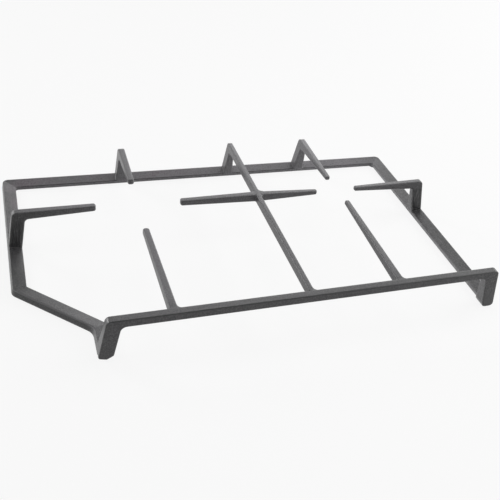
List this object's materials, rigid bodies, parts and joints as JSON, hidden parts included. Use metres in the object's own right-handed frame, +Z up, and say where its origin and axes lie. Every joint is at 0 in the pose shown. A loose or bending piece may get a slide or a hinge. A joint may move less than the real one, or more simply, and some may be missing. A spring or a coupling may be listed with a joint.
{
  "type": "hob pan support",
  "caption": "Cast iron pan support for a gas hob: a low rim with a cut corner, raised front bar, middle bar and fingers that hold pans above a large and a small burner.",
  "frame": {"origin": "centre of the overall box in plan, on the hob's surface", "axes": "+X to the right along the front bar, +Y to the back of the hob, +Z up"},
  "size_m": [0.47, 0.2982, 0.0456],
  "materials": {
    "enamelled_iron": "matt enamel"
  },
  "bodies": {
    "root": {"pan_support": "enamelled_iron"}
  },
  "joints": []
}
